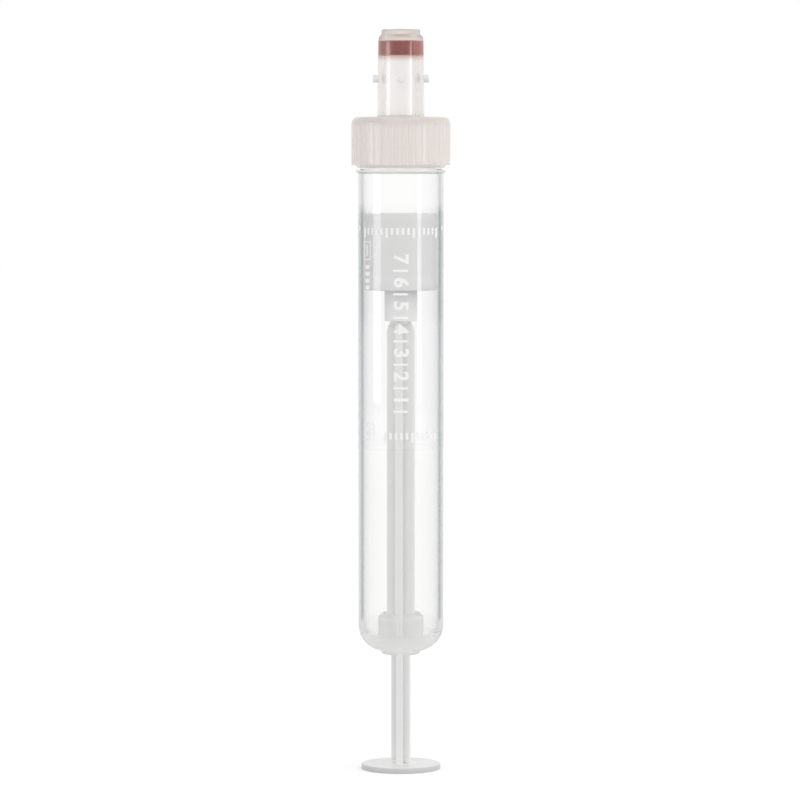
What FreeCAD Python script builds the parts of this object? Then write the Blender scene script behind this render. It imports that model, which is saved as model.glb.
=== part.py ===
"""Blood collection tube with a built-in plunger: a clear barrel whose rounded base guides a cruciform
plunger rod, a piston on the rod, a fluted screw cap with a needle nozzle and its rubber membrane, and a
clear printed label.

The assembly stands on the pull disc of the rod: the origin is the centre of that disc's underside, and
+Z runs up the axis to the tip of the nozzle.
"""

import FreeCAD, Part
import math
import os
import Sketcher
from FreeCAD import Placement, Rotation, Vector

# Driving sizes in millimetres. Each cell's alias is the name used in the expressions below.
SIZES = [
    # barrel
    ("base_level", 20.44, "underside of the barrel's boss above the underside of the pull disc"),
    ("barrel_length", 92.0, "boss to rim"),
    ("barrel_radius", 7.5, "outside of the wall"),
    ("barrel_wall", 1.0, "wall of the clear tube"),
    ("base_flat", 2.8, "radius of the flat middle of the base, where its round starts"),
    ("base_floor", 1.1, "floor of the base above the boss step"),
    ("boss_wall", 0.77, "low boss round the rod hole"),
    ("boss_step", 0.57, "height of the boss below the floor"),
    ("boss_round", 0.35, "lower corner of the boss"),
    ("rod_gap", 0.16, "radial gap between the rod's ribs and their hole"),
    ("collar_wall", 0.9, "guide collar inside the base"),
    ("collar_height", 7.36, "top of the collar above the boss underside"),
    ("collar_lead", 0.7, "chamfer round the top of the collar"),
    ("collar_foot", 0.9, "fillet at the foot of the collar"),
    ("foot_share", 0.4, "the most of the space between collar and bore that this fillet takes"),
    ("neck_gap", 0.2, "radial gap between the piston's neck and the collar"),
    ("claw_slot", 0.8, "slots that divide the collar into claws"),
    ("claw_depth", 3.6, "depth of the slots"),
    ("claw_count", 4, "claws on the collar"),
    ("flange_reach", 0.5, "flange under the cap, proud of the wall"),
    ("flange_thick", 0.55, "flange under the cap"),
    ("flange_lead", 0.3, "chamfer under the flange"),
    ("shoulder_set", 0.32, "plain shoulder above the flange, in from the wall"),
    ("shoulder_rise", 0.9, "height of the plain shoulder"),
    ("neck_set", 0.5, "root of the barrel's thread, in from the wall"),
    ("rim_round", 0.15, "edges of the rim"),
    # thread between barrel and cap
    ("thread_pitch", 3.0, "rise in one turn"),
    ("thread_turns", 1.0, "turns on each side"),
    ("thread_depth", 0.45, "height of a ridge"),
    ("thread_sink", 0.1, "root of a ridge inside the wall that carries it"),
    ("thread_base", 1.0, "width of a ridge at its root"),
    ("thread_crest", 0.5, "width of a ridge at its crest"),
    ("thread_drop", 4.2, "start of the barrel's ridge below the rim"),
    ("thread_lag", 1.0, "the cap's ridge below the barrel's"),
    ("thread_gap", 0.15, "radial gap between crest and root"),
    # screw cap
    ("cap_wall", 1.1, "skirt outside the thread"),
    ("cap_top", 2.65, "top of the cap above the rim seat"),
    ("cap_drop", 5.75, "bottom of the skirt below the rim seat"),
    ("cap_round", 1.2, "top edge of the skirt"),
    ("cap_roof", 1.4, "roof inside the seal ring"),
    ("seat_gap", 0.05, "between the rim and its seat in the cap"),
    ("seal_gap", 0.06, "radial gap between seal ring and bore"),
    ("seal_wall", 0.85, "seal ring"),
    ("seal_drop", 2.2, "seal ring below the seat"),
    ("seal_lead", 0.3, "chamfer on the seal ring"),
    ("lip_set", 0.65, "upper edge of the lip under the skirt, in from the skirt"),
    ("lip_drop", 0.5, "lip below the skirt"),
    ("lip_wall", 0.12, "lower edge of the lip"),
    ("lip_slope", 0.4, "slope inside the skirt down to the lip"),
    ("lip_gap", 0.05, "radial gap between the lip and the barrel's ridge"),
    ("lip_clearance", 0.4, "between the lip and the flange"),
    ("flute_count", 44, "flutes round the skirt"),
    ("flute_radius", 0.4, "radius of a flute"),
    ("flute_depth", 0.14, "depth of a flute"),
    ("flute_margin", 1.3, "plain band above the flutes"),
    # nozzle on the cap
    ("nozzle_radius", 4.0, "outside radius at the membrane"),
    ("nozzle_draft", 0.12, "wider than that at the roof"),
    ("nozzle_height", 17.95, "tip above the rim seat"),
    ("nozzle_wall", 0.95, "wall beside the membrane"),
    ("nozzle_fillet", 0.25, "fillet where the nozzle meets the roof"),
    ("tip_set", 0.6, "ring round the mouth, in from the nozzle's radius"),
    ("tip_height", 0.85, "height of the ring round the mouth"),
    ("tip_round", 0.3, "edges of that ring"),
    ("shoulder_in", 0.2, "shoulder under the ring, in from the nozzle's radius"),
    ("shoulder_step", 0.45, "from the ring down to the shoulder"),
    ("shoulder_slope", 0.9, "from the shoulder down to the full radius"),
    ("mouth_radius", 1.6, "needle mouth above the membrane"),
    ("mouth_depth", 2.0, "needle mouth"),
    ("ledge_width", 0.35, "ledge that the membrane rests on"),
    ("stud_radius", 0.68, "side studs of the nozzle"),
    ("stud_length", 0.93, "stud outside the nozzle"),
    ("stud_height", 9.35, "axis of the studs above the rim seat"),
    ("stud_count", 4, "side studs"),
    ("stud_round", 0.15, "outer edge of a stud"),
    # membrane
    ("membrane_thick", 2.5, "rubber disc"),
    ("membrane_gap", 0.05, "round and above the rubber disc"),
    ("membrane_lead", 0.15, "edges of the rubber disc"),
    # piston
    ("piston_drop", 14.24, "crown below the barrel's rim, as drawn here"),
    ("bore_gap", 0.05, "radial running gap between piston and bore"),
    ("piston_height", 18.9, "crown above the rod's shoulder"),
    ("piston_skirt", 13.4, "length of the piston's outside wall"),
    ("piston_crown", 1.6, "thickness of the crown"),
    ("piston_wall", 0.95, "wall of the skirt"),
    ("piston_land", 1.8, "height of each sealing land"),
    ("piston_relief", 0.12, "depth of the waist between the lands"),
    ("relief_slope", 0.24, "slope from a land to the waist"),
    ("piston_lead", 0.2, "edges of the piston"),
    ("piston_neck", 2.9, "radius of the neck that the collar grips"),
    ("socket_room", 0.3, "between the stem's end and the end of its socket"),
    # plunger rod
    ("disc_radius", 7.0, "pull disc"),
    ("disc_thick", 1.0, "pull disc"),
    ("disc_round", 0.35, "upper edge of the pull disc"),
    ("disc_edge", 0.1, "lower edge of the pull disc"),
    ("rib_thick", 1.2, "ribs of the rod"),
    ("rib_reach", 2.44, "from the axis to the tip of an upper rib"),
    ("rib_slim", 1.65, "the same on the slim lower stretch"),
    ("rib_lift", 0.42, "side ribs end above the disc"),
    ("slim_end", 22.6, "top of the slim stretch above the underside of the disc"),
    ("slim_slope", 1.4, "slope from slim to full ribs"),
    ("head_slope", 1.85, "slope from full ribs to the head"),
    ("head_break", 1.02, "knee of that slope below the head"),
    ("head_set", 0.2, "the knee, in from the tip of a rib"),
    ("stem_radius", 1.65, "stem that sits in the piston's socket"),
    ("stem_gap", 0.04, "radial gap round the stem"),
    ("stem_length", 7.7, "stem above the shoulder"),
    ("stem_root", 0.46, "full radius of the stem starts below the shoulder"),
    ("bead_size", 0.15, "snap bead round the stem"),
    ("bead_height", 5.6, "bead above the shoulder"),
    ("rod_turn", -12.0, "turn of the ribs about the axis, in degrees"),
    # label
    ("label_height", 41.4, "film"),
    ("label_drop", 14.14, "upper edge of the film below the barrel's rim"),
    ("label_thick", 0.08, "film"),
    ("label_gap", 0.03, "between film and barrel"),
    ("label_wrap", 344.0, "angle that the film covers, in degrees"),
]

# Sizes that follow from the driving ones.
DERIVED = [
    ("rim_level", "=base_level + barrel_length"),
    ("bore_radius", "=barrel_radius - barrel_wall"),
    ("floor_level", "=boss_step + base_floor"),
    ("knuckle_round", "=barrel_radius - base_flat"),
    ("inner_round", "=knuckle_round - barrel_wall"),
    ("knuckle_level", "=boss_step + knuckle_round"),
    ("rod_hole", "=rib_reach + rod_gap"),
    ("boss_radius", "=rod_hole + boss_wall"),
    ("boss_top", "=knuckle_level - sqrt(knuckle_round ^ 2 - (boss_radius - base_flat) ^ 2)"),
    ("collar_bore", "=piston_neck + neck_gap"),
    ("collar_radius", "=collar_bore + collar_wall"),
    ("collar_foot_level", "=knuckle_level - sqrt(inner_round ^ 2 - (collar_radius - base_flat) ^ 2)"),
    ("collar_foot_round", "=min(collar_foot; (bore_radius - collar_radius) * foot_share)"),
    ("flange_radius", "=barrel_radius + flange_reach"),
    ("flange_top", "=barrel_length + seat_gap - cap_drop - lip_drop - lip_clearance"),
    ("shoulder_radius", "=barrel_radius - shoulder_set"),
    ("neck_radius", "=barrel_radius - neck_set"),
    ("thread_rise", "=thread_pitch * thread_turns"),
    ("thread_start", "=barrel_length - thread_drop"),
    ("crest_radius", "=neck_radius + thread_depth"),
    ("cap_bore", "=crest_radius + thread_gap"),
    ("cap_radius", "=cap_bore + cap_wall"),
    ("seat_level", "=rim_level + seat_gap"),
    ("cap_thread_start", "=-thread_drop - seat_gap - thread_lag + thread_pitch / 4"),
    ("seal_radius", "=bore_radius - seal_gap"),
    ("lip_bore", "=crest_radius + lip_gap"),
    ("lip_outer", "=cap_radius - lip_set"),
    ("nozzle_foot", "=nozzle_radius + nozzle_draft"),
    ("nozzle_shoulder", "=nozzle_radius - shoulder_in"),
    ("tip_radius", "=nozzle_radius - tip_set"),
    ("pocket_radius", "=nozzle_radius - nozzle_wall"),
    ("pocket_top", "=nozzle_height - mouth_depth"),
    ("membrane_level", "=pocket_top - membrane_gap - membrane_thick"),
    ("channel_radius", "=pocket_radius - ledge_width"),
    ("stud_root", "=(nozzle_radius + pocket_radius) / 2"),
    ("stud_end", "=nozzle_radius + stud_length"),
    ("piston_radius", "=bore_radius - bore_gap"),
    ("skirt_level", "=piston_height - piston_skirt"),
    ("crown_level", "=piston_height - piston_crown"),
    ("rod_end_level", "=rim_level - piston_drop - piston_height"),
    ("socket_radius", "=stem_radius + stem_gap"),
    ("socket_depth", "=stem_length + socket_room"),
    ("bead_level", "=rod_end_level + bead_height"),
    ("label_level", "=rim_level - label_drop - label_height"),
    ("label_inner", "=barrel_radius + label_gap"),
]

doc = FreeCAD.newDocument("blood_collection_tube")
sheet = doc.addObject("Spreadsheet::Sheet", "Sizes")


def fill_sheet():
    """Writes the driving sizes and the derived ones, each in a row of its own with its alias."""
    for row, (alias, size, note) in enumerate(SIZES, start=1):
        sheet.set(f"A{row}", note)
        sheet.set(f"B{row}", str(size))
        sheet.setAlias(f"B{row}", alias)
    for row, (alias, formula) in enumerate(DERIVED, start=len(SIZES) + 1):
        sheet.set(f"B{row}", formula)
        sheet.setAlias(f"B{row}", alias)
    doc.recompute()


ALIASES = {row[0] for row in SIZES + DERIVED}


def linked(text):
    """Puts the sheet's name before every alias in an expression."""
    out, word = "", ""
    for letter in text + " ":
        if letter.isalnum() or letter == "_":
            word += letter
            continue
        out += f"Sizes.{word}" if word in ALIASES else word
        out += letter
        word = ""
    return out.strip()


def value(text):
    """The number that an expression gives with the sheet's present sizes."""
    return float(sheet.evalExpression(linked(text)))


def bind(feature, field, text):
    feature.setExpression(field, linked(text))


def new_body(name, level="0", turn="0"):
    """A body with its own label, lifted to its level and turned about the axis."""
    body = doc.addObject("PartDesign::Body", name)
    body.Label = name
    body.Placement = Placement(Vector(0, 0, value(level)), Rotation(Vector(0, 0, 1), value(turn)))
    bind(body, "Placement.Base.z", level)
    bind(body, "Placement.Rotation.Angle", turn)
    return body


def origin_item(body, role):
    return next(item for item in body.Origin.OriginFeatures if item.Role == role)


def new_sketch(body, name, plane, offset="0"):
    """A sketch on one of the body's origin planes, moved off it along the plane's normal."""
    sketch = body.newObject("Sketcher::SketchObject", name)
    sketch.AttachmentSupport = [(origin_item(body, plane), "")]
    sketch.MapMode = "FlatFace"
    if offset != "0":
        sketch.AttachmentOffset = Placement(Vector(0, 0, value(offset)), Rotation())
        bind(sketch, "AttachmentOffset.Base.z", offset)
    return sketch


def bowed(start, end, radius, side):
    """The arc between two points that bulges to the right (side 1) or to the left (side -1) of the way."""
    chord = end - start
    middle = (start + end) / 2
    sideways = Vector(chord.y, -chord.x, 0).normalize() * side
    rise = radius - math.sqrt(max(radius**2 - (chord.Length / 2) ** 2, 0))
    return Part.Arc(start, middle + sideways * rise, end)


def outline(sketch, corners):
    """A closed outline whose corners are tied to the sheet.

    A corner is an (x, y) pair of expressions. A corner with a third and fourth item starts an arc: its
    radius, and the side that it bulges to.
    """
    spots = [Vector(value(corner[0]), value(corner[1]), 0) for corner in corners]
    ends = []
    for corner, start, end in zip(corners, spots, spots[1:] + spots[:1]):
        if len(corner) == 2:
            sketch.addGeometry(Part.LineSegment(start, end), False)
            ends.append((1, 2))
            continue
        sketch.addGeometry(bowed(start, end, value(corner[2]), corner[3]), False)
        ends.append((1, 2) if corner[3] > 0 else (2, 1))
    for index, corner in enumerate(corners):
        before = (index - 1) % len(corners)
        first = ends[index][0]
        sketch.addConstraint(Sketcher.Constraint("Coincident", before, ends[before][1], index, first))
        tie_point(sketch, index, first, corner[0], corner[1])
        if len(corner) == 4:
            number = sketch.addConstraint(Sketcher.Constraint("Radius", index, value(corner[2])))
            bind(sketch, f"Constraints[{number}]", corner[2])
    return sketch


def tie_point(sketch, item, point, x, y):
    """Fixes a point of a sketch at two expressions, or on an axis where one of them is 0."""
    for kind, text, axis in (("DistanceX", x, -2), ("DistanceY", y, -1)):
        if text == "0":
            sketch.addConstraint(Sketcher.Constraint("PointOnObject", item, point, axis))
            continue
        number = sketch.addConstraint(Sketcher.Constraint(kind, -1, 1, item, point, value(text)))
        bind(sketch, f"Constraints[{number}]", text)


def circle(sketch, radius, x="0", y="0"):
    """A circle whose centre and radius are tied to the sheet."""
    centre = Vector(value(x), value(y), 0)
    item = sketch.addGeometry(Part.Circle(centre, Vector(0, 0, 1), value(radius)), False)
    number = sketch.addConstraint(Sketcher.Constraint("Radius", item, value(radius)))
    bind(sketch, f"Constraints[{number}]", radius)
    tie_point(sketch, item, 3, x, y)
    return sketch


def turned(body, name, points, angle="360"):
    """Revolves an outline of (radius, height) corners about the body's own axis."""
    sketch = outline(new_sketch(body, name + "_outline", "XZ_Plane"), points)
    solid = body.newObject("PartDesign::Revolution", name)
    solid.Profile = sketch
    solid.ReferenceAxis = (sketch, ["V_Axis"])
    bind(solid, "Angle", angle)
    doc.recompute()
    return solid


def pad(body, name, sketch, length, midplane=False):
    solid = body.newObject("PartDesign::Pad", name)
    solid.Profile = sketch
    solid.Midplane = midplane
    bind(solid, "Length", length)
    doc.recompute()
    return solid


def pocket(body, name, sketch, length, reversed_way=False):
    """Cuts a sketch out of the body, and makes sure that it did cut."""
    before = body.Shape.Volume
    cut = body.newObject("PartDesign::Pocket", name)
    cut.Profile = sketch
    cut.Reversed = reversed_way
    bind(cut, "Length", length)
    doc.recompute()
    if body.Shape.Volume > before - 1e-4:
        raise RuntimeError(f"{name} cut nothing")
    return cut


def polar(body, name, feature, count):
    """Repeats a feature evenly about the body's own axis."""
    pattern = body.newObject("PartDesign::PolarPattern", name)
    pattern.Originals = [feature]
    pattern.Axis = (origin_item(body, "Z_Axis"), [""])
    pattern.Angle = 360
    bind(pattern, "Occurrences", count)
    body.Tip = pattern
    doc.recompute()
    return pattern


def rings(shape, radius, height):
    """Names of the round edges about the axis with this radius at this height."""
    names = []
    for number, edge in enumerate(shape.Edges, start=1):
        curve = edge.Curve
        if not isinstance(curve, Part.Circle) or math.hypot(curve.Center.x, curve.Center.y) > 1e-4:
            continue
        if abs(curve.Radius - radius) < 1e-4 and abs(curve.Center.z - height) < 1e-4:
            names.append(f"Edge{number}")
    if not names:
        raise RuntimeError(f"no round edge of radius {radius} at {height}")
    return names


def soften(body, name, kind, size, spots):
    """Rounds (Fillet) or breaks (Chamfer) the round edges at the given (radius, height) spots."""
    edges = []
    for radius, height in spots:
        edges += rings(body.Tip.Shape, value(radius), value(height))
    return dress(body, name, kind, size, edges)


def dress(body, name, kind, size, edges):
    """Rounds or breaks the named edges of the body."""
    base = body.Tip
    feature = body.newObject(f"PartDesign::{kind}", name)
    feature.Base = (base, edges)
    bind(feature, "Radius" if kind == "Fillet" else "Size", size)
    doc.recompute()
    return feature


def thread(body, name, plane, root, crest, start):
    """A right-handed helical ridge of trapezoid section that starts on an upright plane of the body."""
    sketch = new_sketch(body, name + "_section", plane)
    half_base, half_crest = "thread_base / 2", "thread_crest / 2"
    outline(
        sketch,
        [
            (root, f"{start} - {half_base}"),
            (crest, f"{start} - {half_crest}"),
            (crest, f"{start} + {half_crest}"),
            (root, f"{start} + {half_base}"),
        ],
    )
    ridge = body.newObject("PartDesign::AdditiveHelix", name)
    ridge.Profile = sketch
    ridge.ReferenceAxis = (sketch, ["V_Axis"])
    ridge.Mode = 0
    bind(ridge, "Pitch", "thread_pitch")
    bind(ridge, "Height", "thread_rise")
    ridge.Angle = 0
    ridge.LeftHanded = False
    ridge.Reversed = False
    doc.recompute()
    return ridge


def make_barrel():
    """Clear barrel: thread neck, flange, wall and rounded base with its boss, rod hole and guide collar."""
    body = new_body("barrel", "base_level")
    turned(
        body,
        "barrel_wall_and_base",
        [
            ("rod_hole", "0"),
            ("boss_radius", "0"),
            ("boss_radius", "boss_top", "knuckle_round", 1),
            ("barrel_radius", "knuckle_level"),
            ("barrel_radius", "flange_top - flange_thick"),
            ("flange_radius", "flange_top - flange_thick"),
            ("flange_radius", "flange_top"),
            ("shoulder_radius", "flange_top"),
            ("shoulder_radius", "flange_top + shoulder_rise"),
            ("neck_radius", "flange_top + shoulder_rise + shoulder_radius - neck_radius"),
            ("neck_radius", "barrel_length"),
            ("bore_radius", "barrel_length"),
            ("bore_radius", "knuckle_level", "inner_round", -1),
            ("collar_radius", "collar_foot_level"),
            ("collar_radius", "collar_height"),
            ("collar_bore", "collar_height"),
            ("collar_bore", "floor_level"),
            ("rod_hole", "floor_level"),
        ],
    )
    flange_edge = [("flange_radius", "flange_top - flange_thick")]
    rim = [("neck_radius", "barrel_length"), ("bore_radius", "barrel_length")]
    soften(body, "boss_corner", "Fillet", "boss_round", [("boss_radius", "0")])
    soften(body, "flange_corner", "Chamfer", "flange_lead", flange_edge)
    soften(body, "collar_root", "Fillet", "collar_foot_round", [("collar_radius", "collar_foot_level")])
    soften(body, "collar_lead_in", "Chamfer", "collar_lead", [("collar_radius", "collar_height")])
    soften(body, "rim_edges", "Fillet", "rim_round", rim)
    slot = new_sketch(body, "claw_slot_outline", "XY_Plane", "collar_height - claw_depth")
    half = "claw_slot / 2"
    reach = "collar_radius + collar_lead"
    outline(slot, [("0", f"-{half}"), (reach, f"-{half}"), (reach, half), ("0", half)])
    cut = pocket(body, "claw_slot_cut", slot, "claw_depth", reversed_way=True)
    polar(body, "claw_slots", cut, "claw_count")
    thread(body, "barrel_thread", "XZ_Plane", "neck_radius - thread_sink", "crest_radius", "thread_start")
    return body


def stud_rims(shape):
    """Names of the round edges at the ends of the studs."""
    names = []
    for number, edge in enumerate(shape.Edges, start=1):
        middle = edge.BoundBox.Center
        level = abs(middle.z - value("stud_height"))
        reach = math.hypot(middle.x, middle.y) - value("stud_end")
        if isinstance(edge.Curve, Part.Circle) and level < 1e-4 and abs(reach) < 1e-4:
            names.append(f"Edge{number}")
    return names


def make_screw_cap():
    """Screw cap: fluted skirt with its lip and thread, seal ring, and the needle nozzle with its studs."""
    body = new_body("screw_cap", "seat_level")
    turned(
        body,
        "cap_wall_and_nozzle",
        [
            ("cap_bore", "0"),
            ("cap_bore", "-cap_drop + lip_slope"),
            ("lip_bore", "-cap_drop"),
            ("lip_bore", "-cap_drop - lip_drop"),
            ("lip_bore + lip_wall", "-cap_drop - lip_drop"),
            ("lip_outer", "-cap_drop"),
            ("cap_radius", "-cap_drop"),
            ("cap_radius", "cap_top"),
            ("nozzle_foot", "cap_top"),
            ("nozzle_radius", "nozzle_height - tip_height - shoulder_step - shoulder_slope"),
            ("nozzle_shoulder", "nozzle_height - tip_height - shoulder_step"),
            ("tip_radius", "nozzle_height - tip_height"),
            ("tip_radius", "nozzle_height"),
            ("mouth_radius", "nozzle_height"),
            ("mouth_radius", "pocket_top"),
            ("pocket_radius", "pocket_top"),
            ("pocket_radius", "membrane_level"),
            ("channel_radius", "membrane_level"),
            ("channel_radius", "cap_top - cap_roof"),
            ("seal_radius - seal_wall", "cap_top - cap_roof"),
            ("seal_radius - seal_wall", "-seal_drop"),
            ("seal_radius", "-seal_drop"),
            ("seal_radius", "0"),
        ],
    )
    soften(body, "top_edge", "Fillet", "cap_round", [("cap_radius", "cap_top")])
    tip = [("tip_radius", "nozzle_height"), ("mouth_radius", "nozzle_height")]
    soften(body, "tip_edges", "Fillet", "tip_round", tip)
    soften(body, "nozzle_root", "Fillet", "nozzle_fillet", [("nozzle_foot", "cap_top")])
    soften(body, "seal_lead_in", "Chamfer", "seal_lead", [("seal_radius", "-seal_drop")])
    stud = new_sketch(body, "stud_outline", "XZ_Plane", "stud_root")
    circle(stud, "stud_radius", "0", "stud_height")
    first = pad(body, "stud", stud, "stud_end - stud_root")
    polar(body, "studs", first, "stud_count")
    dress(body, "stud_ends", "Fillet", "stud_round", stud_rims(body.Tip.Shape))
    flute = new_sketch(body, "flute_outline", "XY_Plane", "-cap_drop")
    circle(flute, "flute_radius", "cap_radius + flute_radius - flute_depth")
    cut = pocket(body, "flute_cut", flute, "cap_drop + cap_top - flute_margin", reversed_way=True)
    polar(body, "flutes", cut, "flute_count")
    # the cap's ridge starts a quarter turn on, so that it stays inside the skirt
    crest = "cap_bore - thread_depth"
    thread(body, "cap_thread", "YZ_Plane", "cap_bore + thread_sink", crest, "cap_thread_start")
    return body


def make_membrane():
    """Rubber disc in the pocket of the nozzle."""
    body = new_body("membrane", "seat_level + membrane_level")
    radius = "pocket_radius - membrane_gap"
    disc = [("0", "0"), (radius, "0"), (radius, "membrane_thick"), ("0", "membrane_thick")]
    turned(body, "membrane_disc", disc)
    soften(body, "membrane_edges", "Chamfer", "membrane_lead", disc[1:3])
    return body


def make_piston():
    """Piston: crown, skirt with two sealing lands, and the neck whose socket takes the rod's stem."""
    body = new_body("piston", "rod_end_level")
    turned(
        body,
        "piston_wall_and_neck",
        [
            ("socket_radius", "0"),
            ("piston_neck", "0"),
            ("piston_neck", "crown_level"),
            ("piston_radius - piston_wall", "crown_level"),
            ("piston_radius - piston_wall", "skirt_level"),
            ("piston_radius", "skirt_level"),
            ("piston_radius", "skirt_level + piston_land"),
            ("piston_radius - piston_relief", "skirt_level + piston_land + relief_slope"),
            ("piston_radius - piston_relief", "piston_height - piston_land - relief_slope"),
            ("piston_radius", "piston_height - piston_land"),
            ("piston_radius", "piston_height"),
            ("0", "piston_height"),
            ("0", "socket_depth"),
            ("socket_radius", "socket_depth"),
            ("socket_radius", "bead_height + bead_size * 2"),
            ("socket_radius + bead_size", "bead_height + bead_size"),
            ("socket_radius + bead_size", "bead_height - bead_size"),
            ("socket_radius", "bead_height - bead_size * 2"),
        ],
    )
    ends = [("piston_radius", "piston_height"), ("piston_radius", "skirt_level")]
    soften(body, "piston_edges", "Fillet", "piston_lead", ends)
    return body


def rib_outline(sketch, foot):
    """Side view of a pair of ribs: slim below, full above, sloped in to the head."""
    right = [
        ("rib_slim", foot),
        ("rib_slim", "slim_end"),
        ("rib_reach", "slim_end + slim_slope"),
        ("rib_reach", "rod_end_level - head_slope"),
        ("rib_reach - head_set", "rod_end_level - head_break"),
        ("stem_radius", "rod_end_level"),
    ]
    left = [(f"-({x})", y) for x, y in reversed(right)]
    return outline(sketch, right + left)


def make_plunger_rod():
    """Plunger rod: pull disc, cruciform ribs and the stem that carries the piston."""
    body = new_body("plunger_rod", "0", "rod_turn")
    disc = [("0", "0"), ("disc_radius", "0"), ("disc_radius", "disc_thick"), ("0", "disc_thick")]
    turned(body, "pull_disc", disc)
    soften(body, "disc_upper_edge", "Fillet", "disc_round", [("disc_radius", "disc_thick")])
    soften(body, "disc_lower_edge", "Fillet", "disc_edge", [("disc_radius", "0")])
    front = rib_outline(new_sketch(body, "front_rib_outline", "YZ_Plane"), "disc_thick / 2")
    pad(body, "front_and_rear_ribs", front, "rib_thick", midplane=True)
    side = rib_outline(new_sketch(body, "side_rib_outline", "XZ_Plane"), "disc_thick + rib_lift")
    pad(body, "side_ribs", side, "rib_thick", midplane=True)
    turned(
        body,
        "stem",
        [
            ("0", "rod_end_level - head_slope"),
            ("stem_radius", "rod_end_level - stem_root"),
            ("stem_radius", "bead_level - bead_size * 3 / 2"),
            ("stem_radius + bead_size", "bead_level - bead_size / 2"),
            ("stem_radius + bead_size", "bead_level + bead_size / 2"),
            ("stem_radius", "bead_level + bead_size * 3 / 2"),
            ("stem_radius", "rod_end_level + stem_length"),
            ("0", "rod_end_level + stem_length"),
        ],
    )
    return body


def make_label():
    """Clear film wrapped round the barrel, open at the back."""
    body = new_body("label", "label_level", "90 + (360 - label_wrap) / 2")
    outer = "label_inner + label_thick"
    turned(
        body,
        "label_film",
        [("label_inner", "0"), (outer, "0"), (outer, "label_height"), ("label_inner", "label_height")],
        "label_wrap",
    )
    return body


def check_and_write(bodies):
    """Stops on any failed object or bad shape, then writes one file a body."""
    doc.recompute()
    for item in doc.Objects:
        if "Invalid" in item.State or "Error" in item.State:
            raise RuntimeError(f"{item.Name} failed: {item.State}")
    for body in bodies:
        shape = body.Shape
        if shape.isNull() or not shape.isValid() or len(shape.Solids) != 1:
            raise RuntimeError(f"{body.Label} isn't one good solid")
    os.makedirs("parts", exist_ok=True)
    for body in bodies:
        body.Shape.exportStep(f"parts/{body.Label}.step")
        box = body.Shape.BoundBox
        print(f"{body.Label}: {body.Shape.Volume:.1f} mm3, z {box.ZMin:.2f} to {box.ZMax:.2f}")


fill_sheet()
check_and_write(
    [
        make_plunger_rod(),
        make_piston(),
        make_barrel(),
        make_label(),
        make_membrane(),
        make_screw_cap(),
    ]
)
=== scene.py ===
from math import asin, cos, degrees, pi, radians, sin, sqrt, tan

import bmesh
import bpy
from mathutils import Matrix, Vector


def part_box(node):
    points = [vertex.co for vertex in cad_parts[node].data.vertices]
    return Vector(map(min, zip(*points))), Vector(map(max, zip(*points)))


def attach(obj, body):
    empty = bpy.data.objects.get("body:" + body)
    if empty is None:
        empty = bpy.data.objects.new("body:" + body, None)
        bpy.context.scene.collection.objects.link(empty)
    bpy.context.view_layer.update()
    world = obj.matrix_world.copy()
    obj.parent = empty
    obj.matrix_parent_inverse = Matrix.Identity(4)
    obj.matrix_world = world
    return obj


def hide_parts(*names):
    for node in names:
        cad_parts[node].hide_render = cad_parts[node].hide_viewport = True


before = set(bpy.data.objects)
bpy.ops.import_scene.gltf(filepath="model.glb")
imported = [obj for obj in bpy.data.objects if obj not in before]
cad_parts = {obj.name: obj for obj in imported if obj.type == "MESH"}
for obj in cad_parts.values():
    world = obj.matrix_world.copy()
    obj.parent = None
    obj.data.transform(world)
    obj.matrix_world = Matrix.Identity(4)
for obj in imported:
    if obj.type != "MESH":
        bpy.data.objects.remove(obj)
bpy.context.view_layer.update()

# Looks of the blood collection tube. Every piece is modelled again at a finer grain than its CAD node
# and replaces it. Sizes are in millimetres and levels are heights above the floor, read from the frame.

MM = 0.001
TOUCH = 0.01 * MM   # how far a cutter stands past the face that it cuts
MERGE = MM / 1000   # points nearer than this are one
ROUND = 160         # sides of a turned piece


# ---------------------------------------------------------------- the frame

def foot(node):
    """Lowest level of a CAD node."""
    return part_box(node)[0][2] / MM


def top(node):
    """Highest level of a CAD node."""
    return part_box(node)[1][2] / MM


# ---------------------------------------------------------------- modelling

def start(name, primitive, **options):
    """Adds a primitive with nothing else selected and opens it in edit mode."""
    bpy.ops.object.select_all(action="DESELECT")
    primitive(**options)
    piece = bpy.context.object
    piece.name = piece.data.name = name
    bpy.ops.object.mode_set(mode="EDIT")
    bpy.ops.mesh.select_mode(type="VERT")
    bpy.ops.mesh.select_all(action="SELECT")
    return piece


def swing(turn, axis="Z"):
    """Turns the selection about an axis. With no window open the operator turns the other way."""
    bpy.ops.transform.rotate(value=-turn, orient_axis=axis, center_override=(0, 0, 0))


def close_up(piece):
    """Merges doubles, turns the faces outwards and leaves edit mode."""
    bpy.ops.mesh.select_all(action="SELECT")
    bpy.ops.mesh.remove_doubles(threshold=MERGE)
    bpy.ops.mesh.normals_make_consistent(inside=False)
    bpy.ops.object.mode_set(mode="OBJECT")
    return piece


def arc(radius, level, size, begin, end, sides=24):
    """Points of an arc about (radius, level), between two angles in degrees."""
    angles = [radians(begin + (end - begin) * k / sides) for k in range(sides + 1)]
    return [(radius + size * cos(a), level + size * sin(a)) for a in angles]


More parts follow.
